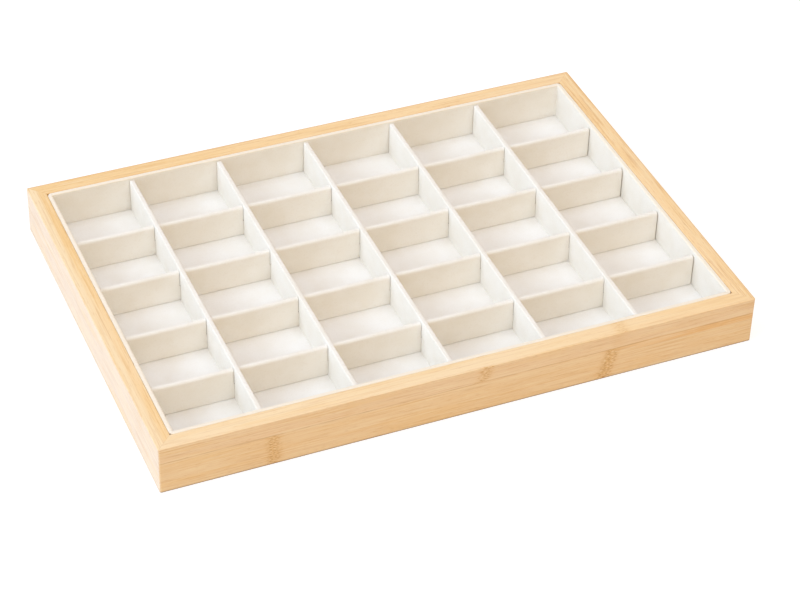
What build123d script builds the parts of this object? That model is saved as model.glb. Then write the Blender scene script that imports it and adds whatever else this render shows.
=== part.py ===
from build123d import *
import os

# Jewelry display tray: a mitred bamboo frame, a cloth-lined insert that drops into it, and a
# lattice of slotted, cloth-wrapped dividers that makes thirty cells.
# Millimetres. The origin is the middle of the underside, +X runs to the right along the
# longest side, -Y is the front and +Z is up.

# The bamboo frame
tray_length = 350.0
tray_width = 245.0
tray_height = 30.0
rail_thickness = 9.6
rail_corner_radius = 1.0
rail_edge_radius = 0.5

# The base panel in its groove
panel_thickness = 3.0
panel_lift = 2.0
groove_depth = 4.0
groove_end_play = 0.2
groove_face_play = 0.1

# The V nails pressed into the mitres from below
nail_leg = 5.0
nail_thickness = 0.5
nail_height = 10.0
nail_setback = 3.0
nail_sink = 0.3

# The insert: grey board covered with cloth
cloth_thickness = 0.25
insert_play = 0.2
insert_seat_gap = 0.1
insert_corner_radius = 2.5
rim_drop = 0.1
wall_board_thickness = 1.9
base_board_thickness = 2.0
floor_cloth_thickness = 0.6

# The cells, which were divided by hand: the fifth column and the third row take the rest
left_column = 46.8
second_column = 51.5
third_column = 52.5
fourth_column = 53.2
right_column = 54.6
front_row = 37.2
second_row = 41.6
fourth_row = 41.7
back_row = 43.6

# The divider lattice
long_board_thickness = 2.2
cross_board_thickness = 3.0
long_top_drop = 1.0
cross_top_drop = 2.7
long_edge_radius = 0.45
cross_edge_radius = 1.4
long_end_radius = 0.6
cross_end_radius = 0.8
divider_end_play = 0.5
divider_seat_gap = 0.2
slot_side_play = 0.3
slot_end_play = 0.1

# Heights and places worked out from the sizes above
panel_top = panel_lift + panel_thickness
insert_bottom = panel_top + insert_seat_gap
base_board_top = insert_bottom + base_board_thickness
floor_top = base_board_top + floor_cloth_thickness
rim_top = tray_height - rim_drop
wall_thickness = wall_board_thickness + 2 * cloth_thickness
insert_inset = rail_thickness + insert_play
cell_inset = insert_inset + wall_thickness
cells_length = tray_length - 2 * cell_inset
cells_width = tray_width - 2 * cell_inset
long_thickness = long_board_thickness + 2 * cloth_thickness
cross_thickness = cross_board_thickness + 2 * cloth_thickness
divider_bottom = floor_top + divider_seat_gap
long_top = rim_top - long_top_drop
cross_top = rim_top - cross_top_drop
lap_height = (divider_bottom + cross_top) / 2


def divider_centres(room, cells_before, cells_after, thickness):
    """Centres of the dividers between the cells: one cell, between those given, takes what
    the others and the dividers leave of the room."""
    dividers = len(cells_before) + len(cells_after)
    rest = room - sum(cells_before) - sum(cells_after) - dividers * thickness
    centres = []
    face = -room / 2
    for cell in [*cells_before, rest, *cells_after[:-1]]:
        centres.append(face + cell + thickness / 2)
        face += cell + thickness
    return centres


long_centres = divider_centres(
    cells_length,
    [left_column, second_column, third_column, fourth_column],
    [right_column],
    long_thickness,
)
cross_centres = divider_centres(
    cells_width, [front_row, second_row], [fourth_row, back_row], cross_thickness
)

side_turns = {"front": 0, "right": 90, "back": 180, "left": 270}
cutter_margin = 1.0


def block(inset, bottom, top, corner_radius=0.0):
    """A block centred on the tray, smaller than it by inset on all four sides."""
    size = Box(tray_length - 2 * inset, tray_width - 2 * inset, top - bottom)
    solid = Pos(0, 0, (bottom + top) / 2) * size
    if corner_radius > 0:
        solid = fillet(solid.edges().filter_by(Axis.Z), corner_radius)
    return solid


def side_of(ring, side):
    """The share of a ring that belongs to one side, cut along the 45 degree mitres."""
    run, reach = tray_length, tray_width
    if side in ("left", "right"):
        run, reach = tray_width, tray_length
    depth = cell_inset + cutter_margin
    corners = [
        (-run / 2, -reach / 2),
        (run / 2, -reach / 2),
        (run / 2 - depth, -reach / 2 + depth),
        (-run / 2 + depth, -reach / 2 + depth),
    ]
    wedge = extrude(make_face(Polyline(*corners, close=True)), tray_height)
    return ring & (Rot(0, 0, side_turns[side]) * wedge)


def frame_ring():
    """The whole bamboo frame with its eased edges and its groove."""
    ring = block(0, 0, tray_height, rail_corner_radius)
    ring = fillet(ring.faces().filter_by(Axis.Z).edges(), rail_edge_radius)
    ring -= block(rail_thickness, -cutter_margin, tray_height + cutter_margin)
    inner_loops = [face.inner_wires()[0] for face in ring.faces().filter_by(Axis.Z)]
    ring = fillet([edge for loop in inner_loops for edge in loop.edges()], rail_edge_radius)
    groove_inset = rail_thickness - groove_depth
    return ring - block(groove_inset, panel_lift, panel_top + groove_face_play)


def base_panel():
    """The panel that lies in the groove with a little play at its edges."""
    return block(rail_thickness - groove_depth + groove_end_play, panel_lift, panel_top)


def v_nails(bottom, top):
    """A V across each mitre, its legs along the two rails that meet there."""
    height = top - bottom
    nails = []
    for side_x in (-1, 1):
        for side_y in (-1, 1):
            tip = Pos(
                side_x * (tray_length / 2 - nail_setback),
                side_y * (tray_width / 2 - nail_setback),
                (bottom + top) / 2,
            )
            leg_x = Pos(-side_x * nail_leg / 2, -side_y * nail_thickness / 2, 0)
            leg_y = Pos(-side_x * nail_thickness / 2, -side_y * nail_leg / 2, 0)
            nail = leg_x * Box(nail_leg, nail_thickness, height)
            nail += leg_y * Box(nail_thickness, nail_leg, height)
            nails.append((tip * nail).solid())
    return nails


def insert_base_board():
    """The board under the whole insert, as far out as the wall boards that stand on it."""
    radius = insert_corner_radius - cloth_thickness
    return block(insert_inset + cloth_thickness, insert_bottom, base_board_top, radius)


def insert_wall_boards():
    """The ring of wall boards, standing on the base board."""
    radius = insert_corner_radius - cloth_thickness
    outer = block(insert_inset + cloth_thickness, base_board_top, rim_top - cloth_thickness, radius)
    return outer - block(cell_inset - cloth_thickness, insert_bottom, rim_top)


def insert_wall_cloths(wall_boards, base_board):
    """The cloth over the walls: up the inside, over the rim and down to the underside."""
    outer = block(insert_inset, insert_bottom, rim_top, insert_corner_radius)
    ring = outer - block(cell_inset, insert_bottom - cutter_margin, rim_top + cutter_margin)
    return ring - wall_boards - base_board


def insert_floor_cloth():
    """The cloth pad on the base board, between the walls."""
    return block(cell_inset, base_board_top, floor_top)


def standing_blank(length, thickness, top, edge_radius, end_radius):
    """A board on edge along X, with eased top edges and rounded upper corners."""
    height = top - divider_bottom
    blank = Pos(0, 0, divider_bottom + height / 2) * Box(length, thickness, height)
    upper_corners = blank.edges().filter_by(Axis.Y).group_by(Axis.Z)[-1]
    blank = fillet(upper_corners, end_radius)
    top_face = blank.faces().sort_by(Axis.Z)[-1]
    return fillet(top_face.edges().filter_by(Axis.X), edge_radius)


def wrapped_divider(length, board_thickness, top, edge_radius, end_radius):
    """The core board of a divider and the cloth wrapped over its sides, ends and top."""
    cloth = cloth_thickness
    outer = standing_blank(length, board_thickness + 2 * cloth, top, edge_radius, end_radius)
    board = standing_blank(
        length - 2 * cloth, board_thickness, top - cloth, edge_radius - cloth, end_radius - cloth
    )
    return board, outer - board


def slots(places, width, bottom, top):
    """The cutters of one divider's slots, at the places of the dividers that cross it."""
    reach = long_thickness + cross_thickness
    cutter = Box(width + 2 * slot_side_play, reach, top - bottom)
    return [Pos(place, 0, (bottom + top) / 2) * cutter for place in places]


def cross_divider():
    """A cross divider along X, slotted from above for the long dividers."""
    length = cells_length - 2 * divider_end_play
    board, cloth = wrapped_divider(
        length, cross_board_thickness, cross_top, cross_edge_radius, cross_end_radius
    )
    cutters = slots(long_centres, long_thickness, lap_height - slot_end_play, cross_top + cutter_margin)
    return board - cutters, cloth - cutters


def long_divider():
    """A long divider along X, slotted from below for the cross dividers."""
    length = cells_width - 2 * divider_end_play
    board, cloth = wrapped_divider(
        length, long_board_thickness, long_top, long_edge_radius, long_end_radius
    )
    cutters = slots(
        cross_centres, cross_thickness, divider_bottom - cutter_margin, lap_height + slot_end_play
    )
    return board - cutters, cloth - cutters


def all_pieces():
    """Every piece of the tray by its name."""
    nails = v_nails(nail_sink, nail_sink + nail_height)
    rails = frame_ring() - v_nails(-cutter_margin, nail_sink + nail_height)
    base_board = insert_base_board()
    wall_boards = insert_wall_boards()
    wall_cloths = insert_wall_cloths(wall_boards, base_board)
    pieces = {
        "base_panel": base_panel(),
        "corner_v_nails": Compound(children=nails),
        "insert_base_board": base_board,
        "insert_floor_cloth": insert_floor_cloth(),
    }
    for side in side_turns:
        pieces[f"rail_{side}"] = side_of(rails, side)
        pieces[f"insert_wall_board_{side}"] = side_of(wall_boards, side)
        pieces[f"insert_wall_cloth_{side}"] = side_of(wall_cloths, side)
    board, cloth = cross_divider()
    for number, y in enumerate(cross_centres, start=1):
        pieces[f"cross_divider_board_{number}"] = Pos(0, y, 0) * board
        pieces[f"cross_divider_cloth_{number}"] = Pos(0, y, 0) * cloth
    board, cloth = long_divider()
    for number, x in enumerate(long_centres, start=1):
        pieces[f"long_divider_board_{number}"] = Pos(x, 0, 0) * Rot(0, 0, 90) * board
        pieces[f"long_divider_cloth_{number}"] = Pos(x, 0, 0) * Rot(0, 0, 90) * cloth
    return pieces


os.makedirs("parts", exist_ok=True)
for name, piece in all_pieces().items():
    export_step(piece, f"parts/{name}.step")
    print(f"{name}: {len(piece.solids())} solid, {piece.volume / 1000:.2f} cubic cm")
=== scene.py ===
# %% [markdown]
# # A jewelry tray with a lift-out cloth insert
# The tray is a low frame of laminated bamboo, an insert of grey board covered with pale brushed
# cloth, and nine slotted dividers that stand in it. The hard pieces come from the construction
# model, already at their real size and place. This lesson gives them their finish, and it makes
# the cloth, because cloth is what a solid block shows worst.

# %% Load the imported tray
import math

import bmesh
import bpy
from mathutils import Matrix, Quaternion, Vector, noise


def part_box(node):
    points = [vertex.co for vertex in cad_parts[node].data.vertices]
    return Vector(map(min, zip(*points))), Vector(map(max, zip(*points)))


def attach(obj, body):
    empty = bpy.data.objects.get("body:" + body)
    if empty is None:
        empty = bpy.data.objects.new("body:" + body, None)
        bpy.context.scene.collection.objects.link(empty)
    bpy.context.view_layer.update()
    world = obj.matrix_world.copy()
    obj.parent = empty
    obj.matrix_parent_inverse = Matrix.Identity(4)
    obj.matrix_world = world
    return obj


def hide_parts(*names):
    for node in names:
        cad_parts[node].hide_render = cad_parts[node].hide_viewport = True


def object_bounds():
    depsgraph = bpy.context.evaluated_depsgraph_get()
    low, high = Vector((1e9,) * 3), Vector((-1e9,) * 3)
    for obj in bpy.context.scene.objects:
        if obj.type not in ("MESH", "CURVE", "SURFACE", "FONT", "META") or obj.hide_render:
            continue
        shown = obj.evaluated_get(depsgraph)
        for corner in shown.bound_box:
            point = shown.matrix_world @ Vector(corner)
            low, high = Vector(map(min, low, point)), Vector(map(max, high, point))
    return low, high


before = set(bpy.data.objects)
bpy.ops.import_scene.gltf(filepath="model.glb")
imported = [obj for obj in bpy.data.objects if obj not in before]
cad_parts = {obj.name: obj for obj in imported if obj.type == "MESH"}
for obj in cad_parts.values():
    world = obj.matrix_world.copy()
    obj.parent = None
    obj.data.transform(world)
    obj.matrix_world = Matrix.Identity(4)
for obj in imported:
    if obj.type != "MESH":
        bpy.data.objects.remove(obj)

MM = 0.001
cad_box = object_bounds()
print("pieces from the construction model:", len(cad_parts))

# %% [markdown]
# ## The camera
# A product photograph like this one is taken from some way off with a long lens, so the far rail
# is hardly shorter than the near one. The camera can be placed by eye, but a place, a point to
# look at and a lens are easier to correct: the place sets the perspective, and the lens only
# crops it. The last degree of tilt is a turn about the camera's own viewing axis.

# %% Place the camera
camera_place = Vector((-0.44562, -1.04998, 0.89978))
camera_target = Vector((-0.00599, -0.04088, 0.02))
camera_tilt = math.radians(1.617)
film_width = 36.0
lens_length = 112.94


def facing(place, target):
    """The rotation that turns a lamp or a camera at one point towards another."""
    return (target - place).to_track_quat("-Z", "Y")


camera_data = bpy.data.cameras.new("camera")
camera_data.sensor_width = film_width
camera_data.lens = lens_length
camera = bpy.data.objects.new("camera", camera_data)
camera.location = camera_place
turn = facing(camera_place, camera_target) @ Quaternion((0, 0, 1), camera_tilt)
camera.rotation_euler = turn.to_euler()
bpy.context.scene.collection.objects.link(camera)
bpy.context.scene.camera = camera
bpy.context.scene.view_settings.view_transform = "Standard"
print("camera distance in metres:", round((camera_target - camera_place).length, 3))

# %% [markdown]
# ## Studio light
# In the studio a big soft box stands on the left, a second one hangs above, and a weaker, warmer
# light comes from the front. So faces that look left are nearly white, and faces that look at
# the camera are warm and a little darker. One lamp would do for the shadow, but only lamps of
# different colour give that change of tone. They stand ten tray lengths away, because a near
# lamp would make one end of the tray brighter than the other. And they stay at a level at which
# a colour renders about as it is written.

# %% Hang the three soft boxes
unit_power = math.pi ** 2  # watts for each square metre of distance, to show white as white


def soft_box(name, direction, distance, width, level, colour):
    """A square area lamp that looks at the tray, with its level given as brightness there."""
    lamp = bpy.data.lights.new(name, "AREA")
    lamp.shape = "SQUARE"
    lamp.size = width
    lamp.energy = level * unit_power * distance ** 2
    lamp.color = colour
    holder = bpy.data.objects.new(name, lamp)
    holder.location = Vector(direction).normalized() * distance
    holder.rotation_euler = facing(holder.location, Vector((0, 0, 0))).to_euler()
    bpy.context.scene.collection.objects.link(holder)
    print(name, "watts:", round(lamp.energy, 1))


soft_box(
    "key_light", direction=(-0.90, 0.0, 0.40), distance=3.6, width=3.2,
    level=0.83, colour=(0.585, 0.775, 1.0),
)
soft_box(
    "top_light", direction=(-0.08, 0.03, 0.98), distance=3.6, width=3.6,
    level=0.57, colour=(0.52, 0.69, 1.0),
)
soft_box(
    "front_light", direction=(-0.05, -0.80, 0.60), distance=4.0, width=2.8,
    level=0.205, colour=(1.0, 0.95, 0.88),
)

# %% [markdown]
# ## White floor and white air
# The photograph's background is plain white, with only a thin shadow under the tray. More light
# would reach that white, but it would bleach the tray too. So the floor and the air are white
# only for the rays that the camera, gloss or glass send out, and a plain pale surface and a soft
# grey sky for the rays that carry light to the tray.


# %% Tell the seen rays from the lighting rays
def seen_rays(tree):
    """1 for rays from the camera and for mirrored or transmitted ones, 0 for the rest."""
    path = tree.nodes.new("ShaderNodeLightPath")
    total = path.outputs["Is Camera Ray"]
    for kind in ("Is Glossy Ray", "Is Transmission Ray"):
        larger = tree.nodes.new("ShaderNodeMath")
        larger.operation = "MAXIMUM"
        tree.links.new(total, larger.inputs[0])
        tree.links.new(path.outputs[kind], larger.inputs[1])
        total = larger.outputs[0]
    return total


def mixed_shader(tree, factor, lighting, seen, output):
    """Joins the shader for lighting rays and the shader for seen rays to an output."""
    mixer = tree.nodes.new("ShaderNodeMixShader")
    tree.links.new(factor, mixer.inputs[0])
    tree.links.new(lighting, mixer.inputs[1])
    tree.links.new(seen, mixer.inputs[2])
    tree.links.new(mixer.outputs[0], output)


# %% Fill the air
sky_level = 0.53
sky_colour = (1.0, 0.72, 0.38, 1.0)

world = bpy.data.worlds.new("studio_air")
world.use_nodes = True
bpy.context.scene.world = world
air = world.node_tree
lighting_air = air.nodes["Background"]
lighting_air.inputs["Color"].default_value = sky_colour
lighting_air.inputs["Strength"].default_value = sky_level
seen_air = air.nodes.new("ShaderNodeBackground")
seen_air.inputs["Color"].default_value = (1, 1, 1, 1)
seen_air.inputs["Strength"].default_value = 1.0
air_output = air.nodes["World Output"].inputs["Surface"]
mixed_shader(air, seen_rays(air), lighting_air.outputs[0], seen_air.outputs[0], air_output)
print("sky level:", sky_level)

# %% Lay the floor
floor_half = 4.0
floor_glow = 0.76
floor_shadow_share = 0.36
floor_bounce = (0.80, 0.80, 0.80, 1.0)


def floor_finish():
    """White where it is seen, with a faint shadow, and pale grey where it only gives light."""
    finish = bpy.data.materials.new("studio_floor")
    finish.use_nodes = True
    tree = finish.node_tree
    tree.nodes.remove(tree.nodes["Principled BSDF"])
    lighting = tree.nodes.new("ShaderNodeBsdfDiffuse")
    lighting.inputs["Color"].default_value = floor_bounce
    shadow_catcher = tree.nodes.new("ShaderNodeBsdfDiffuse")
    shadow_catcher.inputs["Color"].default_value = (floor_shadow_share,) * 3 + (1.0,)
    glow = tree.nodes.new("ShaderNodeEmission")
    glow.inputs["Strength"].default_value = floor_glow
    seen = tree.nodes.new("ShaderNodeAddShader")
    tree.links.new(shadow_catcher.outputs[0], seen.inputs[0])
    tree.links.new(glow.outputs[0], seen.inputs[1])
    output = tree.nodes["Material Output"].inputs["Surface"]
    mixed_shader(tree, seen_rays(tree), lighting.outputs[0], seen.outputs[0], output)
    return finish


floor_mesh = bpy.data.meshes.new("studio_floor")
floor_corners = [
    (side_x * floor_half, side_y * floor_half, 0)
    for side_x, side_y in ((-1, -1), (1, -1), (1, 1), (-1, 1))
]
floor_mesh.from_pydata(floor_corners, [], [(0, 1, 2, 3)])
floor_mesh.materials.append(floor_finish())
floor = bpy.data.objects.new("studio_floor", floor_mesh)
bpy.context.scene.collection.objects.link(floor)
print("floor side in metres:", 2 * floor_half)

# %% [markdown]
# ## A short way to write a finish
# Wood, cloth and board are all colour, roughness and fine relief that change over the surface.
# Pictures could hold that, but they blur close up and need unwrapping. Here each finish is
# worked out from the place on the object instead, with noise stretched along the grain. The
# node trees get long, so a small class adds one node for each call.


# %% Colours and the finish builder
def tone(red, green, blue):
    """A colour written from 0 to 255 as a screen shows it, as the values that shaders use."""

    def linear(level):
        share = level / 255
        return share / 12.92 if share <= 0.04045 else ((share + 0.055) / 1.055) ** 2.4

    return (linear(red), linear(green), linear(blue), 1.0)


class Finish:
    """A material, with short calls that add one node and give back its output."""

    def __init__(self, name):
        self.material = bpy.data.materials.new(name)
        self.material.use_nodes = True
        self.nodes = self.material.node_tree.nodes
        self.links = self.material.node_tree.links
        self.shader = self.nodes["Principled BSDF"]

    def feed(self, socket, value):
        """Links another node's output to a socket, or writes a plain value into it."""
        if isinstance(value, bpy.types.NodeSocket):
            self.links.new(value, socket)
        else:
            socket.default_value = value

    def place(self, shift=(0, 0, 0), turn=0.0):
        """The place on the object in millimetres, turned about the upright axis and shifted."""
        source = self.nodes.new("ShaderNodeTexCoord").outputs["Object"]
        mapping = self.nodes.new("ShaderNodeMapping")
        self.feed(mapping.inputs["Vector"], source)
        mapping.inputs["Location"].default_value = shift
        mapping.inputs["Rotation"].default_value = (0, 0, math.radians(turn))
        mapping.inputs["Scale"].default_value = (1 / MM, 1 / MM, 1 / MM)
        return mapping.outputs["Vector"]

    def parts(self, vector):
        """The three numbers of a vector."""
        split = self.nodes.new("ShaderNodeSeparateXYZ")
        self.feed(split.inputs[0], vector)
        return split.outputs[0], split.outputs[1], split.outputs[2]

    def vector(self, x, y, z):
        """A vector from three numbers."""
        joined = self.nodes.new("ShaderNodeCombineXYZ")
        for socket, value in zip(joined.inputs, (x, y, z)):
            self.feed(socket, value)
        return joined.outputs[0]

    def calc(self, operation, *values):
        """One step of arithmetic."""
        node = self.nodes.new("ShaderNodeMath")
        node.operation = operation
        for socket, value in zip(node.inputs, values):
            self.feed(socket, value)
        return node.outputs[0]

    def noise(self, vector, detail=2.0, roughness=0.5):
        """Cloudy noise from 0 to 1, with spots about one unit across."""
        node = self.nodes.new("ShaderNodeTexNoise")
        self.feed(node.inputs["Vector"], vector)
        node.inputs["Scale"].default_value = 1.0
        node.inputs["Detail"].default_value = detail
        node.inputs["Roughness"].default_value = roughness
        return node.outputs["Fac"]

    def rise(self, value, start, end, high=1.0):
        """0 where value is at start, high where it is at end, and a smooth step between."""
        node = self.nodes.new("ShaderNodeMapRange")
        node.interpolation_type = "SMOOTHSTEP"
        self.feed(node.inputs["Value"], value)
        self.feed(node.inputs["From Min"], start)
        self.feed(node.inputs["From Max"], end)
        self.feed(node.inputs["To Max"], high)
        return node.outputs["Result"]

    def blend(self, share, under, over):
        """One colour over another, by a share from 0 to 1."""
        node = self.nodes.new("ShaderNodeMix")
        node.data_type = "RGBA"
        colours = [socket for socket in node.inputs if socket.type == "RGBA"]
        self.feed(node.inputs["Factor"], share)
        self.feed(colours[0], under)
        self.feed(colours[1], over)
        return next(socket for socket in node.outputs if socket.type == "RGBA")

    def relief(self, height, depth, strength=1.0):
        """Fine relief: a height from 0 to 1 stands for this many millimetres."""
        node = self.nodes.new("ShaderNodeBump")
        self.feed(node.inputs["Height"], height)
        node.inputs["Distance"].default_value = depth * MM
        node.inputs["Strength"].default_value = strength
        self.feed(self.shader.inputs["Normal"], node.outputs["Normal"])

    def set(self, **values):
        """Writes values or links to the shader's own sockets; Coat_Weight means Coat Weight."""
        for name, value in values.items():
            self.feed(self.shader.inputs[name.replace("_", " ")], value)


def spots(finish, parts, size, detail, roughness=0.5):
    """Noise with spots of this size in millimetres, the same in every direction."""
    place = finish.vector(*(finish.calc("DIVIDE", part, size) for part in parts))
    return finish.noise(place, detail, roughness)


def dress(piece, material):
    """Takes off the materials that a piece came with, and gives it this one."""
    piece.data.materials.clear()
    piece.data.materials.append(material)


print("mid grey as shaders use it:", round(tone(128, 128, 128)[0], 3))

# %% [markdown]
# ## Bamboo
# A bamboo rail is not one piece of wood. Strips about 20 mm wide and 5 mm thick are glued side
# by side and in two plies, and each strip has its own tint, straight short fibres, and a knuckle
# where the stem had a joint. A wood picture would show one plank. Here the finish first finds out
# which strip a point lies in, and then gives each strip its own tint and its own fibres.
# Each rail gets coordinates of its own: along the rail, in from its outer face, and up.

# %% Measure the rails
frame_low, frame_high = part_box("rail_front")
rail_height = (frame_high.z - frame_low.z) / MM
rail_thickness = (frame_high.y - frame_low.y) / MM
half_length = cad_box[1][0] / MM
half_width = cad_box[1][1] / MM
ply_joint = rail_thickness / 2
print("rail height and thickness in mm:", round(rail_height, 2), round(rail_thickness, 2))

# %% Name the bamboo tones
bamboo_plain = tone(241, 204, 151)
bamboo_grey = tone(241, 205, 158)
bamboo_orange = tone(242, 202, 138)
bamboo_warm = tone(249, 214, 161)
bamboo_honey = tone(245, 208, 151)
bamboo_pale = tone(248, 221, 178)
# This cream is partly a paler strip and partly painted highlight, for the strongly lit left face.
bamboo_pale_strip_and_highlight = tone(234, 210, 186)
fibre_dark = tone(214, 162, 98)
fibre_light = tone(250, 226, 184)
knuckle_gold = tone(228, 178, 100)
knuckle_dark = tone(204, 150, 80)
glue_dark = tone(186, 136, 80)
# The edge tone is partly lacquer darkening and partly painted shade.
edge_lacquer_and_shade = tone(222, 176, 118)
# The foot tone is painted shade: the contact shadow under the rails.
foot_shadow_tone = tone(126, 92, 60)
band_orange = tone(236, 182, 108)


# %% Find the strip that a point lies in
def strip_of(wood, depth, height, outer_joint, inner_joint):
    """The ply (0 outer, 1 inner) and the tier (0 lower, 1 upper) of a point, and the joint."""
    ply = wood.calc("GREATER_THAN", depth, ply_joint)
    joint = wood.calc("MULTIPLY_ADD", ply, inner_joint - outer_joint, outer_joint)
    tier = wood.calc("GREATER_THAN", height, joint)
    return ply, tier, joint


def strip_tint(wood, ply, tier, tints):
    """The strip's own tint: lower and upper strip of the outer ply, then of the inner one."""
    outer = wood.blend(tier, tints[0], tints[1])
    inner = wood.blend(tier, tints[2], tints[3])
    return wood.blend(ply, outer, inner)


# %% Plane the top
outer_strip_end = 2.6
inner_strip_start = 6.6
planed_start = rail_height - 0.55
planed_full = rail_height - 0.25


def planed_top(wood, tint, along, depth, height, tops, drift):
    """The tint with the planed top over it, and 1 on that top, where the fibres are fainter."""
    inwards = wood.rise(depth, outer_strip_end, inner_strip_start)
    near_end = wood.blend(inwards, tops[0], tops[1])
    far_end = wood.blend(inwards, tops[2], tops[3])
    top = wood.blend(wood.rise(along, *drift), near_end, far_end)
    planed = wood.rise(height, planed_start, planed_full)
    return wood.blend(planed, tint, top), planed


# %% Draw the fibres
cloud_length, cloud_width = 70, 5.0
streak_length, streak_width = 30, 0.85
dash_length, dash_width = 5.5, 0.60
streak_part, dash_part = 0.6, 0.4


def fibre_noise(wood, along, depth, height, length, width, detail):
    """Noise in streaks of this length and width in millimetres."""
    spot = wood.vector(
        wood.calc("DIVIDE", along, length),
        wood.calc("DIVIDE", depth, width),
        wood.calc("DIVIDE", height, width),
    )
    return wood.noise(spot, detail)


def with_fibres(wood, tint, along, depth, height, planed, calm):
    """The tint with its clouds, streaks and short dashes, and the height of the fibres."""
    bold = wood.calc("MULTIPLY_ADD", planed, -calm, 1.0)

    def share(*step):
        return wood.calc("MULTIPLY", wood.rise(*step), bold)

    clouds = fibre_noise(wood, along, depth, height, cloud_length, cloud_width, 2)
    streaks = fibre_noise(wood, along, depth, height, streak_length, streak_width, 3)
    dashes = fibre_noise(wood, along, depth, height, dash_length, dash_width, 2)
    colour = wood.blend(wood.rise(clouds, 0.48, 0.70, 0.45), tint, bamboo_orange)
    colour = wood.blend(wood.rise(clouds, 0.52, 0.30, 0.45), colour, bamboo_pale)
    colour = wood.blend(share(streaks, 0.50, 0.72, 0.44), colour, fibre_dark)
    colour = wood.blend(share(streaks, 0.50, 0.28, 0.48), colour, fibre_light)
    colour = wood.blend(share(dashes, 0.57, 0.72, 0.36), colour, fibre_dark)
    colour = wood.blend(share(dashes, 0.43, 0.28, 0.34), colour, fibre_light)
    fine = wood.calc("MULTIPLY", dashes, dash_part)
    return colour, wood.calc("MULTIPLY_ADD", streaks, streak_part, fine)


# %% Draw the knuckles
knuckle_reach, knuckle_core = 7.0, 0.6
wave_depth, wave_size = 3.5, 1.4
fray_depth, fray_size = 6.0, 0.5
fray_shift = 50
fleck_length, fleck_width = 2.2, 0.45
gold_share = 0.70


def knuckle(wood, along, depth, height, place, lean, low, high, strength):
    """How strongly one knuckle marks a point: a wavy, frayed band across its strip."""
    wave = fibre_noise(wood, place, depth, height, 1.0, wave_size, 2)
    fray = fibre_noise(wood, place + fray_shift, depth, height, 1.0, fray_size, 1)
    middle = wood.calc("MULTIPLY_ADD", wave, wave_depth, place - (wave_depth + fray_depth) / 2)
    middle = wood.calc("MULTIPLY_ADD", fray, fray_depth, middle)
    above_middle = wood.calc("SUBTRACT", height, rail_height / 2)
    middle = wood.calc("MULTIPLY_ADD", above_middle, lean, middle)
    distance = wood.calc("ABSOLUTE", wood.calc("SUBTRACT", along, middle))
    band = wood.rise(distance, knuckle_reach, knuckle_core, strength)
    above_low = wood.calc("GREATER_THAN", height, low)
    below_high = wood.calc("LESS_THAN", height, high)
    return wood.calc("MULTIPLY", band, wood.calc("MULTIPLY", above_low, below_high))


def with_knuckles(wood, colour, along, depth, height, knuckles):
    """The colour with the rail's knuckles in it: a golden band with dark and pale flecks."""
    marks = [knuckle(wood, along, depth, height, *facts) for facts in knuckles]
    mark = marks[0]
    for other in marks[1:]:
        mark = wood.calc("MAXIMUM", mark, other)
    flecks = fibre_noise(wood, along, depth, height, fleck_length, fleck_width, 1)
    core = wood.rise(mark, 0.15, 0.70)
    dark = wood.calc("MULTIPLY", core, wood.rise(flecks, 0.50, 0.62, 0.9))
    pale = wood.calc("MULTIPLY", core, wood.rise(flecks, 0.44, 0.34, 0.6))
    colour = wood.blend(wood.calc("MULTIPLY", mark, gold_share), colour, knuckle_gold)
    colour = wood.blend(dark, colour, knuckle_dark)
    return wood.blend(pale, colour, fibre_light)


# %% Draw the glue lines, the mitres and the eased edges
glue_line = 0.10
mitre_line = 0.10
mitre_share = 0.20
inner_edge_fade = 0.9
edge_start, edge_full = 1.6, 0.3
band_blur = 0.6


def with_joints(wood, colour, along, depth, height, joint, half_run):
    """The colour with thin darker lines where strips, plies and rails are glued together."""
    patchy = fibre_noise(wood, along, depth, height, 18, 4.0, 1)
    strip_gap = wood.calc("ABSOLUTE", wood.calc("SUBTRACT", height, joint))
    ply_gap = wood.calc("ABSOLUTE", wood.calc("SUBTRACT", depth, ply_joint))
    strip_line = wood.rise(strip_gap, 0.42, glue_line)
    ply_line = wood.rise(ply_gap, 0.40, glue_line, 0.3)
    glue = wood.calc("MAXIMUM", strip_line, ply_line)
    glue = wood.calc("MULTIPLY", glue, wood.rise(patchy, 0.25, 0.70, 0.50))
    colour = wood.blend(glue, colour, glue_dark)
    to_end = wood.calc("SUBTRACT", half_run, wood.calc("ABSOLUTE", along))
    to_mitre = wood.calc("ABSOLUTE", wood.calc("SUBTRACT", to_end, depth))
    mitre = wood.rise(to_mitre, 2.5 * mitre_line, 0.5 * mitre_line, mitre_share)
    return wood.blend(mitre, colour, glue_dark)


def eased_edge(wood, depth, height):
    """1 on the rounded edges, else 0. Their darkening is partly lacquer in the cut fibres and
    partly painted shade.
    """
    from_inside = wood.calc("SUBTRACT", rail_thickness + inner_edge_fade, depth)
    from_face = wood.calc("MINIMUM", depth, from_inside)
    from_end = wood.calc("MINIMUM", height, wood.calc("SUBTRACT", rail_height, height))
    off_edge = wood.calc("MAXIMUM", from_face, from_end)
    return wood.rise(off_edge, edge_start, edge_full)


def with_bands(wood, colour, along, height, bands):
    """The colour with darker bands where a strip was cut close to the stem's skin."""
    for start, end, low, high, share in bands:
        lengthwise = wood.rise(along, start, end, share)
        above_low = wood.rise(height, low - band_blur, low + band_blur)
        below_high = wood.rise(height, high + band_blur, high - band_blur)
        upright = wood.calc("MULTIPLY", above_low, below_high)
        colour = wood.blend(wood.calc("MULTIPLY", lengthwise, upright), colour, band_orange)
    return colour


# %% Put the bamboo finish together
strip_shift = 131.7
rail_shift = 613.0
foot_start, foot_full = 1.1, 0.4
foot_inside, foot_outside = 1.4, 0.8
lacquer_coat = 0.3


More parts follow.
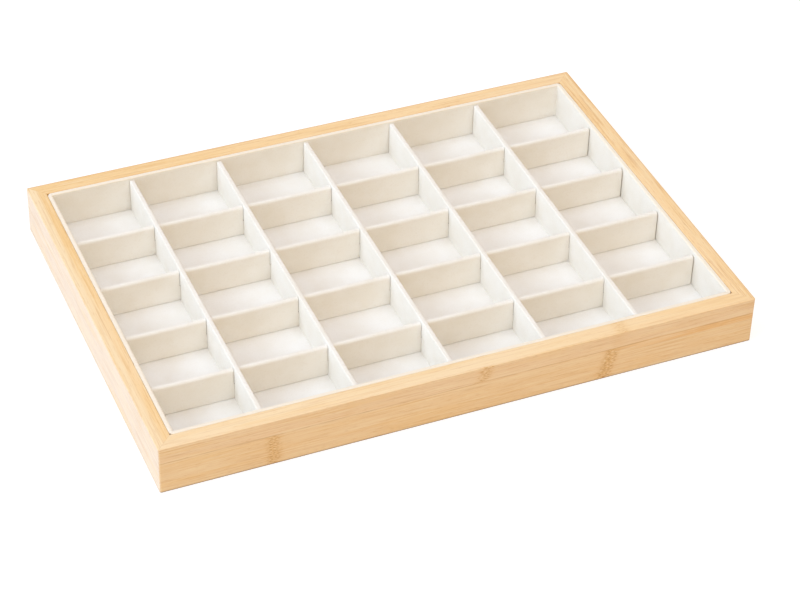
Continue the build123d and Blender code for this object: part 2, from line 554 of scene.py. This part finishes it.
def bamboo(name, turn, half_run, half_reach, outer_joint, inner_joint, tints, tops, drift, calm,
           edges, foot, knuckles, bands=()):
    """The finish of one rail, in that rail's own coordinates."""
    wood = Finish(name)
    along, depth, height = wood.parts(wood.place((0, half_reach, 0), turn))
    ply, tier, joint = strip_of(wood, depth, height, outer_joint, inner_joint)
    strip = wood.calc("MULTIPLY_ADD", ply, 2.0, tier)
    shifted = wood.calc("ADD", along, rail_shift + 7 * turn)
    own_along = wood.calc("MULTIPLY_ADD", strip, strip_shift, shifted)
    tint = with_bands(wood, strip_tint(wood, ply, tier, tints), along, height, bands)
    tint, planed = planed_top(wood, tint, along, depth, height, tops, drift)
    colour, grain = with_fibres(wood, tint, own_along, depth, height, planed, calm)
    colour = with_knuckles(wood, colour, along, depth, height, knuckles)
    colour = with_joints(wood, colour, along, depth, height, joint, half_run)
    eased = eased_edge(wood, depth, height)
    # Partly painted shade: the eased edges darken with lacquer, and more on the rails whose edges
    # face away from the key light.
    colour = wood.blend(wood.calc("MULTIPLY", eased, edges), colour, edge_lacquer_and_shade)
    # Painted shade: the lowest millimetre of the outer face darkens as the contact shadow under the
    # tray. There the finish is also rougher, with less coat.
    at_foot = wood.rise(height, foot_start, foot_full)
    at_face = wood.rise(depth, foot_inside, foot_outside)
    foot_shadow_band = wood.calc("MULTIPLY", at_foot, at_face)
    colour = wood.blend(wood.calc("MULTIPLY", foot_shadow_band, foot), colour, foot_shadow_tone)
    rough = wood.calc("MULTIPLY_ADD", grain, 0.18, 0.36)
    dull_edge = wood.calc("MULTIPLY", eased, 0.08)
    dull_foot = wood.calc("MULTIPLY", foot_shadow_band, 0.35)
    worn = wood.calc("MAXIMUM", dull_edge, dull_foot)
    coat = wood.calc("MULTIPLY_ADD", foot_shadow_band, -lacquer_coat, lacquer_coat)
    wood.set(Base_Color=colour, Roughness=wood.calc("ADD", rough, worn))
    wood.set(Coat_Weight=coat, Coat_Roughness=0.28)
    wood.relief(grain, 0.05, 0.6)
    return wood.material


# %% Give each rail its strips
# A knuckle is its place along the rail, lean, lowest and highest height, and strength.
# A band is where along the rail it starts and is full, its two heights, and its share.
lower, upper = (0.0, 20.0), (20.0, 30.0)
# edges sets how dark a rail's eased edges get, partly from lacquer and partly as painted shade.
# foot sets the rail's painted contact shadow, which is weakest on the left rail, where the key
# light falls.
rails = {
    "rail_front": dict(
        turn=0, half_run=half_length, half_reach=half_width, outer_joint=20.0, inner_joint=12.0,
        tints=(bamboo_plain, bamboo_grey, bamboo_plain, bamboo_pale),
        tops=(bamboo_pale, bamboo_pale, bamboo_warm, bamboo_warm), drift=(-20, 170, 0.8),
        calm=0.35, edges=0.12, foot=0.8,
        knuckles=[
            (-111.6, 0.0, *lower, 0.70),
            (85.6, 0.27, *lower, 0.90),
            (6.6, 0.3, *upper, 0.60),
            (-69.0, 0.0, *upper, 0.20),
            (89.5, 0.1, *upper, 0.20),
            (93.0, 0.0, 29.7, 30.1, 0.40),
        ],
        bands=[(60.0, 130.0, 16.2, 20.4, 0.8)],
    ),
    "rail_back": dict(
        turn=180, half_run=half_length, half_reach=half_width, outer_joint=14.0, inner_joint=20.0,
        tints=(bamboo_plain, bamboo_orange, bamboo_plain, bamboo_orange),
        tops=(bamboo_warm, bamboo_warm, bamboo_orange, bamboo_orange), drift=(-60, 165, 0.8),
        calm=0.10, edges=0.90, foot=0.8,
        knuckles=[(60.0, 0.0, 0.0, 14.0, 0.6), (-90.0, 0.1, 14.0, 30.0, 0.5)],
    ),
    "rail_left": dict(
        turn=90, half_run=half_width, half_reach=half_length, outer_joint=18.0, inner_joint=10.0,
        # The outer ply is a pale cream: partly a paler strip and partly painted highlight, for the
        # strong light and sheen on the left face.
        tints=(bamboo_pale_strip_and_highlight, bamboo_pale_strip_and_highlight, bamboo_plain, bamboo_orange),
        tops=(bamboo_pale, bamboo_honey, fibre_light, bamboo_orange), drift=(30, -90, 0.9),
        calm=0.10, edges=0.10, foot=0.25,
        knuckles=[(91.5, 0.0, 18.0, 30.0, 0.20), (-20.0, 0.0, 0.0, 18.0, 0.12)],
    ),
    "rail_right": dict(
        turn=-90, half_run=half_width, half_reach=half_length, outer_joint=12.0, inner_joint=20.0,
        tints=(bamboo_plain, bamboo_orange, bamboo_grey, bamboo_plain),
        tops=(bamboo_honey, bamboo_warm, bamboo_honey, bamboo_orange), drift=(-30, 112, 0.4),
        calm=-0.35, edges=0.65, foot=0.8,
        knuckles=[(-36.0, 0.0, 0.0, 12.0, 0.6), (48.0, 0.1, 12.0, 30.0, 0.5)],
    ),
}
for node_name, facts in rails.items():
    dress(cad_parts[node_name], bamboo(f"bamboo_{node_name}", **facts))
    print(node_name, "knuckles:", len(facts["knuckles"]))

# %% [markdown]
# ## The base panel
# A thin veneered panel slides in a groove of the rails and closes the tray from below. It is only
# sanded, not lacquered. Veneer is peeled off a turning log, so its figure is broad and wavy. That
# figure is noise bent by other, slower noise.


# %% Finish the base panel
def panel_wood():
    """Sanded rotary veneer with the grain along the tray."""
    wood = Finish("sanded_panel")
    along, across, height = wood.parts(wood.place())
    slow = wood.vector(wood.calc("DIVIDE", along, 90), wood.calc("DIVIDE", across, 40), 3.0)
    bend = wood.noise(slow, 2)
    bent = wood.vector(
        wood.calc("DIVIDE", along, 160),
        wood.calc("MULTIPLY_ADD", bend, 7.0, wood.calc("DIVIDE", across, 16)),
        wood.calc("DIVIDE", height, 16),
    )
    figure = wood.noise(bent, 3)
    pores = fibre_noise(wood, along, across, height, 5, 0.4, 2)
    colour = wood.blend(wood.rise(figure, 0.35, 0.65), tone(214, 184, 140), tone(196, 160, 112))
    colour = wood.blend(wood.rise(pores, 0.56, 0.72, 0.45), colour, tone(170, 132, 86))
    wood.set(Base_Color=colour, Roughness=wood.calc("MULTIPLY_ADD", pores, 0.2, 0.55))
    wood.relief(pores, 0.06, 0.7)
    return wood.material


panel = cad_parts["base_panel"]
dress(panel, panel_wood())
print("panel size in mm:", [round(side / MM, 1) for side in panel.dimensions])

# %% [markdown]
# ## The V nails
# Each mitre is held by a folded strip of steel pressed in from below. Rolled strip is metallic
# with fine lines along the rolling, so the roughness gets streaks, and the base is full metal.


# %% Finish the V nails
def nail_steel():
    """Bare rolled steel strip."""
    steel = Finish("rolled_steel")
    along, across, height = steel.parts(steel.place())
    lines = fibre_noise(steel, height, along, across, 2.0, 0.12, 2)
    colour = steel.blend(lines, tone(188, 188, 188), tone(150, 150, 152))
    rough = steel.calc("MULTIPLY_ADD", lines, 0.3, 0.25)
    steel.set(Base_Color=colour, Roughness=rough, Metallic=1.0)
    steel.relief(lines, 0.01, 0.5)
    return steel.material


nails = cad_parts["corner_v_nails"]
dress(nails, nail_steel())
print("height of the nails in mm:", round(nails.dimensions.z / MM, 1))

# %% [markdown]
# ## Grey board
# The insert and the dividers are stiff grey board under the cloth, made of pressed waste paper.
# It shows in the slots and at the open undersides when a divider is lifted. The finish is a dull
# grey with short flecks of fibre in every direction.


# %% Finish the grey board
fleck_size = 0.5
board_cloud_size = 9


def grey_board():
    """Pressed grey board with flecks of fibre."""
    board = Finish("pressed_board")
    parts = board.parts(board.place())
    flecks = spots(board, parts, fleck_size, 3, 0.6)
    clouds = spots(board, parts, board_cloud_size, 2)
    colour = board.blend(board.rise(clouds, 0.35, 0.65), tone(176, 170, 160), tone(162, 156, 146))
    colour = board.blend(board.rise(flecks, 0.58, 0.72, 0.6), colour, tone(122, 116, 108))
    colour = board.blend(board.rise(flecks, 0.42, 0.28, 0.5), colour, tone(202, 197, 187))
    board.set(Base_Color=colour, Roughness=board.calc("MULTIPLY_ADD", flecks, 0.15, 0.8))
    board.relief(flecks, 0.08, 0.8)
    return board.material


board_finish = grey_board()
board_count = 0
for node_name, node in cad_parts.items():
    if "_board" in node_name:
        dress(node, board_finish)
        board_count += 1
print("grey boards:", board_count)

# %% [markdown]
# ## Brushed cloth
# The cloth is a cream-white suede cloth: a fine knit whose surface is brushed up into a very
# short nap. Real hairs would be far below a pixel, so sheen gives the soft bright edge of the
# nap, fine noise gives its grain, and slow noise gives the lighter and darker patches where the
# nap lies one way or the other. The rim, just inside the bamboo, is a touch warmer.


# %% Finish the cloth
lie_size, tuft_size, grain_size = 14.0, 1.1, 0.28
rim_start, rim_full = 29.1, 29.5
cloth_pale = tone(247, 244, 237)
cloth_cream = tone(244, 240, 231)
tuft_shade = tone(237, 231, 220)
grain_shade = tone(232, 226, 214)
rim_warm = tone(249, 236, 213)


def brushed_cloth():
    """Cream-white cloth with a short brushed nap."""
    cloth = Finish("cream_brushed_cloth")
    parts = cloth.parts(cloth.place())
    nap_lie = spots(cloth, parts, lie_size, 3)
    nap_tufts = spots(cloth, parts, tuft_size, 3)
    nap_grain = spots(cloth, parts, grain_size, 2)
    colour = cloth.blend(cloth.rise(nap_lie, 0.35, 0.68), cloth_pale, cloth_cream)
    colour = cloth.blend(cloth.rise(nap_tufts, 0.50, 0.75, 0.35), colour, tuft_shade)
    colour = cloth.blend(cloth.rise(nap_grain, 0.55, 0.75, 0.25), colour, grain_shade)
    colour = cloth.blend(cloth.rise(parts[2], rim_start, rim_full, 0.6), colour, rim_warm)
    nap = cloth.calc("MULTIPLY_ADD", nap_grain, 0.6, cloth.calc("MULTIPLY", nap_tufts, 0.4))
    cloth.set(Base_Color=colour, Roughness=cloth.calc("MULTIPLY_ADD", nap_lie, 0.08, 0.86))
    cloth.set(Sheen_Weight=0.18, Sheen_Roughness=0.45, Specular_IOR_Level=0.2)
    cloth.relief(nap, 0.12, 0.55)
    return cloth.material


cloth_finish = brushed_cloth()
print("size of a tuft of the nap in mm:", tuft_size)

# %% [markdown]
# ## From lines of points to cloth
# Cloth pulled round board keeps the board's shape, with soft corners, turned-in edges and tiny
# unevenness. A simulation would only pull it flat again, so the cloth is drawn as lines of
# points across the piece, with more lines where it bends. Faces join neighbouring lines, and a
# thickness behind them makes a closed, thin skin.

# %% Build a skin from its lines
cloth_thickness = 0.2
sharp_angle = math.radians(38)
rounding_room = 1e-6


def spaced(low, high, step):
    """Evenly spaced values from low to high, at most step apart."""
    count = max(1, math.ceil((high - low) / step - rounding_room))
    return [low + (high - low) * place / count for place in range(count + 1)]


def filled(values, step):
    """The values in order, with more between them wherever they are over step apart."""
    order = sorted(set(round(value, 4) for value in values))
    result = [order[0]]
    for low, high in zip(order, order[1:]):
        result += spaced(low, high, step)[1:]
    return result


def skin_mesh(lines, kept, looped, ends):
    """A mesh of quads between lines of points, with ladder-like ends where they are wanted."""
    work = bmesh.new()
    knots = [[work.verts.new(Vector(point) * MM) for point in line] for line in lines]
    if looped:
        knots.append(knots[0])
    for row, (line, after) in enumerate(zip(knots, knots[1:])):
        for column in range(len(line) - 1):
            if kept is None or kept(row, column):
                work.faces.new((line[column], after[column], after[column + 1], line[column + 1]))
    if ends is not None:
        for line in (knots[0], knots[-1]):
            last = len(line) - 1
            for near in range(ends):
                far = last - near
                rungs = (line[near], line[near + 1], line[far - 1], line[far])
                work.faces.new(rungs)
            work.faces.new(line[ends:last - ends + 1])
    loose = [vertex for vertex in work.verts if not vertex.link_faces]
    bmesh.ops.delete(work, geom=loose, context="VERTS")
    bmesh.ops.recalc_face_normals(work, faces=work.faces)
    mesh = bpy.data.meshes.new("skin")
    work.to_mesh(mesh)
    work.free()
    return mesh


def skin_area(mesh):
    """The area of a skin in square metres."""
    return sum(face.area for face in mesh.polygons)


def cloth_piece(name, mesh, thickness):
    """An object from a skin, with its thickness behind it and the cloth's finish."""
    mesh.name = name
    piece = bpy.data.objects.new(name, mesh)
    bpy.context.scene.collection.objects.link(piece)
    if thickness:
        solid = piece.modifiers.new("thickness", "SOLIDIFY")
        solid.thickness = thickness * MM
        solid.offset = -1
        solid.use_even_offset = True
        shown = piece.evaluated_get(bpy.context.evaluated_depsgraph_get())
        piece.modifiers.clear()
        piece.data = bpy.data.meshes.new_from_object(shown)
        piece.data.name = name
    piece.data.shade_smooth()
    piece.data.set_sharp_from_angle(angle=sharp_angle)
    dress(piece, cloth_finish)
    return piece


# %% [markdown]
# ## The dividers' wraps
# Each divider is a board on edge with one strip of cloth folded over its top and glued down both
# sides and round the ends. The long dividers have crisp tops. The cross dividers are padded soft
# and stand a little lower, and their cloth rises a little at the crossings. Where two dividers
# cross, each has a slot half its height. A Boolean could cut the slots, but leaving faces out of
# the grid gives the same slot and keeps the mesh clean.

# %% Read the dividers' sizes
column_count = 6
row_count = 5
slot_gap = 0.18
slot_end_play = 0.1
long_edge_radius = 0.45
cross_edge_radius = 1.6
long_end_radius = 0.6
cross_end_radius = 0.8
end_corner_radius = 0.45
soft_step = 0.4
crest_reach = 10.0
long_hem_drop = 0.22
cross_hem_drop = 0.10
station_step, row_step = 4.0, 3.0
nap_hollow = 0.05
plain_end = 3.0
slot_pinch = 0.1
least_top = 0.15
nearly = 0.01
arc_steps = 5
end_steps = 6


def box_in_mm(node_name):
    """The low and high corner of a construction piece, in millimetres."""
    low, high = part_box(node_name)
    return low / MM, high / MM


long_boxes = [box_in_mm(f"long_divider_cloth_{n}") for n in range(1, column_count)]
cross_boxes = [box_in_mm(f"cross_divider_cloth_{n}") for n in range(1, row_count)]
long_centres = [(low.x + high.x) / 2 for low, high in long_boxes]
cross_centres = [(low.y + high.y) / 2 for low, high in cross_boxes]
long_thickness = long_boxes[0][1].x - long_boxes[0][0].x
cross_thickness = cross_boxes[0][1].y - cross_boxes[0][0].y
divider_bottom = long_boxes[0][0].z
long_top = long_boxes[0][1].z
cross_top = cross_boxes[0][1].z
lap_height = (divider_bottom + cross_top) / 2
print("long and cross thickness:", round(long_thickness, 2), round(cross_thickness, 2))
print("lap height:", round(lap_height, 2))


# %% Shape one wrap
def corner_arc(distance, radius):
    """How far a rounded corner lies inside the square one, this far from the end."""
    if distance >= radius:
        return 0.0
    return radius - math.sqrt(radius ** 2 - (radius - distance) ** 2)


def waviness(u, z, seed, size=16.0):
    """A smooth unevenness from 0 to 1."""
    return 0.5 + 0.5 * max(-1.0, min(1.0, noise.noise(Vector((u / size, z / size, seed)))))


def rounded(inset, top, radius, turn_in):
    """Points of a quarter round at the top of a section, from its side up to its top."""
    points = []
    for step in range(1, arc_steps + 1):
        angle = math.radians(90 * step / arc_steps)
        across = turn_in * radius * (1 - math.cos(angle))
        points.append((inset + across, top - radius * (1 - math.sin(angle))))
    return points


def wrap_line(u, facts, rows, seed):
    """The wrap's cross-section at one place along it, from one bottom edge to the other."""
    from_end = max(0.0, facts["length"] / 2 - abs(u))
    half = facts["thickness"] / 2 - corner_arc(from_end, end_corner_radius)
    top = facts["top"] - corner_arc(from_end, facts["end_radius"])
    to_crossing = min([from_end] + [abs(u - centre) for centre in facts["slots"]])
    top += facts["slack"] * waviness(u, 0, seed)
    top += facts["crest"] * max(0.0, 1 - to_crossing / crest_reach)
    edge = min(facts["edge_radius"], half - least_top)
    off_slots = [abs(abs(u - centre) - facts["slot_width"] / 2) for centre in facts["slots"]]
    pinch = slot_pinch if min(off_slots) < nearly else 0.0
    fixed = facts["slot_z"] + soft_step
    full_shoulder = facts["top"] - facts["edge_radius"]
    side = []
    for z in rows:
        height = z
        if z > fixed:
            height = fixed + (z - fixed) * (top - edge - fixed) / (full_shoulder - fixed)
        inset = nap_hollow * waviness(u, z, seed + 5.5) if from_end > plain_end else 0.0
        in_slot = facts["slot_low"] - nearly <= z <= facts["slot_high"] + nearly
        inset += pinch if in_slot else 0.0
        side.append((half - inset, height))
    near = side + rounded(side[-1][0], top, edge, -1)
    far = [(-width, height) for width, height in reversed(near)]
    return near + [(0.0, top + nearly)] + far


def wrap(name, facts, place, seed):
    """The whole wrap of one divider, with its slots left open."""
    half_slot = facts["slot_width"] / 2
    turns = [math.radians(90 * step / end_steps) for step in range(end_steps + 1)]
    ends = [facts["end_radius"] * (1 - math.cos(turn)) for turn in turns]
    ends += [end_corner_radius]
    marks = [side * (facts["length"] / 2 - end) for end in ends for side in (-1, 1)]
    for centre in facts["slots"]:
        for reach in (half_slot, half_slot + soft_step):
            marks += [centre - reach, centre + reach]
    stations = filled(marks, station_step)
    bottom, shoulder = facts["bottom"], facts["top"] - facts["edge_radius"]
    row_marks = [bottom, bottom + 0.2, bottom + 0.5, shoulder]
    row_marks += [facts["slot_z"] + step for step in (-soft_step, 0, soft_step)]
    rows = filled(row_marks, row_step)
    lines = []
    for u in stations:
        section = wrap_line(u, facts, rows, seed)
        lines.append([place(u, across, z) for across, z in section])
    heights = rows + [facts["top"]] * arc_steps
    heights = heights + [facts["top"]] + heights[::-1]

    def kept(row, column):
        """False in a slot, where the cloth is cut away."""
        middle = (stations[row] + stations[row + 1]) / 2
        in_slot = any(abs(middle - centre) < half_slot for centre in facts["slots"])
        low, high = sorted((heights[column], heights[column + 1]))
        in_height = low >= facts["slot_low"] - nearly and high <= facts["slot_high"] + nearly
        return not (in_slot and in_height)

    mesh = skin_mesh(lines, kept, looped=False, ends=len(rows) + arc_steps - 1)
    area = skin_area(mesh)
    return cloth_piece(name, mesh, cloth_thickness), area


# %% Wrap the long dividers
def front_to_back(middle):
    """Puts the points of a wrap's section on a line from front to back."""
    return lambda u, across, z: (middle + across, u, z)


long_facts = dict(
    length=long_boxes[0][1].y - long_boxes[0][0].y, thickness=long_thickness,
    bottom=divider_bottom - long_hem_drop, top=long_top,
    edge_radius=long_edge_radius, end_radius=long_end_radius,
    slots=cross_centres, slot_width=cross_thickness + 2 * slot_gap,
    slot_z=lap_height + slot_end_play, slot_low=divider_bottom - long_hem_drop,
    slot_high=lap_height + slot_end_play, slack=0.03, crest=0.0,
)
for n, centre in enumerate(long_centres, start=1):
    piece, area = wrap(f"long_wrap_{n}", long_facts, front_to_back(centre), 3.1 * n)
    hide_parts(f"long_divider_cloth_{n}")
    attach(piece, f"long_divider_{n}")
print("long wrap area in square cm:", round(area * 1e4, 1))


# %% Wrap the cross dividers
def left_to_right(middle):
    """Puts the points of a wrap's section on a line from left to right."""
    return lambda u, across, z: (u, middle + across, z)


cross_facts = dict(
    length=cross_boxes[0][1].x - cross_boxes[0][0].x, thickness=cross_thickness,
    bottom=divider_bottom - cross_hem_drop, top=cross_top,
    edge_radius=cross_edge_radius, end_radius=cross_end_radius,
    slots=long_centres, slot_width=long_thickness + 2 * slot_gap,
    slot_z=lap_height - slot_end_play, slot_low=lap_height - slot_end_play, slot_high=cross_top + 1,
    slack=0.15, crest=0.25,
)
for n, centre in enumerate(cross_centres, start=1):
    piece, area = wrap(f"cross_wrap_{n}", cross_facts, left_to_right(centre), 40 + 2.3 * n)
    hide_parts(f"cross_divider_cloth_{n}")
    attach(piece, "lattice")
print("cross wrap area in square cm:", round(area * 1e4, 1))

# %% [markdown]
# ## The cloth over the insert's walls
# One band of cloth goes up the inside of the four walls, over the rim and down the outside, so
# the rim is a soft pale edge between bamboo and cells. It could be four strips, but then the
# corners would show seams that the real one hides. A band that follows a rounded rectangle, with
# the same section everywhere, gives smooth corners outside and tight ones inside.

# %% Read the insert's sizes
rim_outer_radius = 0.3
rim_inner_radius = 0.6
rim_loft = 0.1
side_loft = 0.12
insert_corner_radius = 2.5
corner_steps = 8
station_gap = 5.0
hem_turn, hem_end = 0.3, 0.8
outer_row_step = 4.0
rim_swell, rim_dip = 0.05, 0.06
foot_gap = 0.05
front_low, front_high = box_in_mm("insert_wall_cloth_front")
insert_half_length = box_in_mm("insert_wall_cloth_right")[1].x
insert_half_width = -front_low.y
insert_bottom = front_low.z
rim_top = front_high.z
floor_low, floor_high = box_in_mm("insert_floor_cloth")
base_board_top = floor_low.z
floor_top = floor_high.z
cells_half_length = floor_high.x
cells_half_width = floor_high.y
wall_thickness = insert_half_length - cells_half_length
print("wall thickness:", round(wall_thickness, 2), "rim top:", round(rim_top, 2))


# %% Stations round the insert
def insert_stations():
    """Places round the insert: a point on an inner rectangle and the direction outwards."""
    reach_x = insert_half_length - insert_corner_radius
    reach_y = insert_half_width - insert_corner_radius
    corners = [
        (reach_x, -reach_y, -90),
        (reach_x, reach_y, 0),
        (-reach_x, reach_y, 90),
        (-reach_x, -reach_y, 180),
    ]
    stations = []
    for number, (x, y, start) in enumerate(corners):
        for step in range(corner_steps + 1):
            angle = math.radians(start + 90 * step / corner_steps)
            stations.append((Vector((x, y, 0)), Vector((math.cos(angle), math.sin(angle), 0))))
        anchor, outwards = stations[-1]
        next_x, next_y, _ = corners[(number + 1) % 4]
        way = Vector((next_x, next_y, 0)) - anchor
        for share in spaced(0, 1, station_gap / way.length)[1:-1]:
            stations.append((anchor + way * share, outwards))
    return stations


def wall_section(x, y):
    """The band's section at one place, as inset and height, from outside to inside."""
    swell = rim_swell * waviness(x, y, seed=91.0, size=18.0)
    top = rim_top + rim_loft - rim_dip * waviness(x, y, seed=77.0, size=22.0)
    outer, inner = -side_loft, wall_thickness - swell
    hem_top = insert_bottom + hem_end
    outside = [(0.0, insert_bottom), (outer / 2, insert_bottom + hem_turn), (outer, hem_top)]
    outside += [(outer, z) for z in spaced(hem_top, top - rim_outer_radius, outer_row_step)[1:]]
    over = rounded(outer, top, rim_outer_radius, 1) + [(wall_thickness / 2, top)]
    over += rounded(inner, top, rim_inner_radius, -1)[::-1]
    inside_heights = spaced(base_board_top + foot_gap, top - rim_inner_radius, row_step)
    return outside + over + [(inner, z) for z in inside_heights[::-1]]


# %% Wrap the walls
band_lines = []
for anchor, outwards in insert_stations():
    rim_point = anchor + outwards * insert_corner_radius
    line = []
    for inset, z in wall_section(rim_point.x, rim_point.y):
        point = anchor + outwards * (insert_corner_radius - inset)
        line.append((point.x, point.y, z))
    band_lines.append(line)
band_mesh = skin_mesh(band_lines, kept=None, looped=True, ends=None)
wall_band = cloth_piece("wall_band", band_mesh, cloth_thickness)
sides = ("front", "back", "left", "right")
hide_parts(*(f"insert_wall_cloth_{side}" for side in sides))
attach(wall_band, "insert")

# %% [markdown]
# ## The floor cloth
# The cells' floor is one thicker cloth, laid on the base board before the dividers go in. The
# cross dividers press shallow lines into it, and its edges roll down against the walls, most of
# all at the back. That gives each cell a soft dark seam at the foot of its far wall, and the
# lines show when the lattice is lifted out.

# %% Draw the floor cloth
pressed_depth = 0.10
press_inside, press_reach = 0.15, 0.55
edge_drop = 0.15
back_edge_drop = 0.60
roll_reach = 0.5
floor_loft = 0.06
floor_step = 6.0


def trench(value, centres, thickness):
    """1 under a divider, 0 a little beside it."""
    gap = min(abs(value - centre) for centre in centres) - thickness / 2
    share = max(0.0, min(1.0, (press_reach - gap) / (press_reach + press_inside)))
    return share * share * (3 - 2 * share)


def floor_height(x, y):
    """The height of the floor cloth's upper side."""
    pressed = trench(y, cross_centres, cross_thickness)
    from_wall = min(cells_half_length - abs(x), cells_half_width + y)
    from_back = cells_half_width - y
    rolled = edge_drop * max(0.0, 1 - from_wall / roll_reach) ** 2
    rolled = max(rolled, back_edge_drop * max(0.0, 1 - from_back / roll_reach) ** 2)
    loft = floor_loft * waviness(x, y, seed=13.0, size=11.0)
    return floor_top - pressed_depth * pressed - rolled - loft


def floor_marks(half, centres, thickness):
    """Where the floor cloth needs lines of points in one direction."""
    marks = [side * (half - extra) for side in (-1, 1) for extra in (0, 0.12, 0.28, roll_reach)]
    for centre in centres:
        for extra in (-press_inside, 0.1, 0.3, press_reach):
            marks += [centre - thickness / 2 - extra, centre + thickness / 2 + extra]
    return filled(marks, floor_step)


def border_of(knots):
    """The points along the four sides of a grid, in one round."""
    front = [line[0] for line in knots]
    back = [line[-1] for line in knots]
    return front + knots[-1][1:-1] + back[::-1] + knots[0][-2:0:-1]


def floor_cloth_mesh():
    """The upper side as a grid, with sides and a flat underside that close it."""
    marks_x = floor_marks(cells_half_length, long_centres, long_thickness)
    marks_y = floor_marks(cells_half_width, cross_centres, cross_thickness)
    work = bmesh.new()
    knots = []
    for x in marks_x:
        points = [Vector((x, y, floor_height(x, y))) * MM for y in marks_y]
        knots.append([work.verts.new(point) for point in points])
    for line, after in zip(knots, knots[1:]):
        for column in range(len(line) - 1):
            work.faces.new((line[column], after[column], after[column + 1], line[column + 1]))
    upper = border_of(knots)
    bottom = base_board_top * MM
    lower = [work.verts.new((knot.co.x, knot.co.y, bottom)) for knot in upper]
    for place in range(len(upper)):
        work.faces.new((upper[place], lower[place], lower[place - 1], upper[place - 1]))
    work.faces.new(lower)
    bmesh.ops.recalc_face_normals(work, faces=work.faces)
    mesh = bpy.data.meshes.new("floor_cloth")
    work.to_mesh(mesh)
    work.free()
    return mesh


floor_cloth = cloth_piece("floor_cloth", floor_cloth_mesh(), 0)
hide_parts("insert_floor_cloth")
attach(floor_cloth, "insert")
